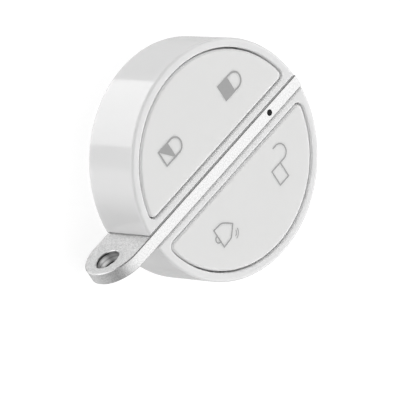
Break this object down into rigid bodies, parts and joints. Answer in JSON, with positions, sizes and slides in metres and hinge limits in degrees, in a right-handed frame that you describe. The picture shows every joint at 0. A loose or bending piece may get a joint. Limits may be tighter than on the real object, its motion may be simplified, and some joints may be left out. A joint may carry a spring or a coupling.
{
  "type": "rfid key tag",
  "caption": "Round white key fob with two rocking D-shaped keys on its face and an aluminium bar across it that ends in a keyring lug.",
  "frame": {"origin": "centre of the disc, on the flat back", "axes": "+Z out of the face, +Y along the bar away from the keyring lug, +X to the right of the face and along the keyring hole"},
  "size_m": [0.0383, 0.0473, 0.011],
  "materials": {
    "shell_white": "gloss",
    "cover_white": "fine texture",
    "key_white": "satin",
    "bar_aluminium": "bead blasted and anodised",
    "lens_dark": "gloss",
    "steel": "satin",
    "spring_steel": "bright",
    "board_green": "solder resist",
    "chip_black": "moulded",
    "ceramic": "fired",
    "led_clear": "clear",
    "coil_copper": "enamelled wire",
    "cell_steel": "nickel plated",
    "tray_plastic": "moulded",
    "seal_rubber": "matt",
    "print_grey": "pad-printed ink"
  },
  "bodies": {
    "housing": {"front_shell": "shell_white", "back_cover": "cover_white", "seal_ring": "seal_rubber", "keyring_bar": "bar_aluminium", "bar_screws": "steel", "anchor_pin": "steel", "indicator_lens": "lens_dark", "left_key_pin": "steel", "right_key_pin": "steel", "snap_dome_left_upper": "spring_steel", "snap_dome_left_lower": "spring_steel", "snap_dome_right_upper": "spring_steel", "snap_dome_right_lower": "spring_steel", "circuit_board": "board_green", "microcontroller": "chip_black", "radio_chip": "chip_black", "tag_chip": "chip_black", "chip_antenna": "ceramic", "crystal": "steel", "capacitors": "ceramic", "indicator_led": "led_clear", "antenna_coil": "coil_copper", "coin_cell": "cell_steel", "battery_tray": "tray_plastic", "positive_contact": "spring_steel", "negative_contact": "spring_steel"},
    "left_key": {"left_key": "key_white"},
    "right_key": {"right_key": "key_white"}
  },
  "joints": [
    {"name": "left_key_rock", "type": "hinge", "parent": "housing", "child": "left_key", "pos_m": [-0.01, 0, 0.00905], "axis": [1, 0, 0], "range_deg": [-1.5, 1.5], "stiffness_Nm_per_rad": 0.4, "deforming": ["snap_dome_left_upper", "snap_dome_left_lower"]},
    {"name": "right_key_rock", "type": "hinge", "parent": "housing", "child": "right_key", "pos_m": [0.01, 0, 0.00905], "axis": [1, 0, 0], "range_deg": [-1.5, 1.5], "stiffness_Nm_per_rad": 0.4, "deforming": ["snap_dome_right_upper", "snap_dome_right_lower"]}
  ]
}
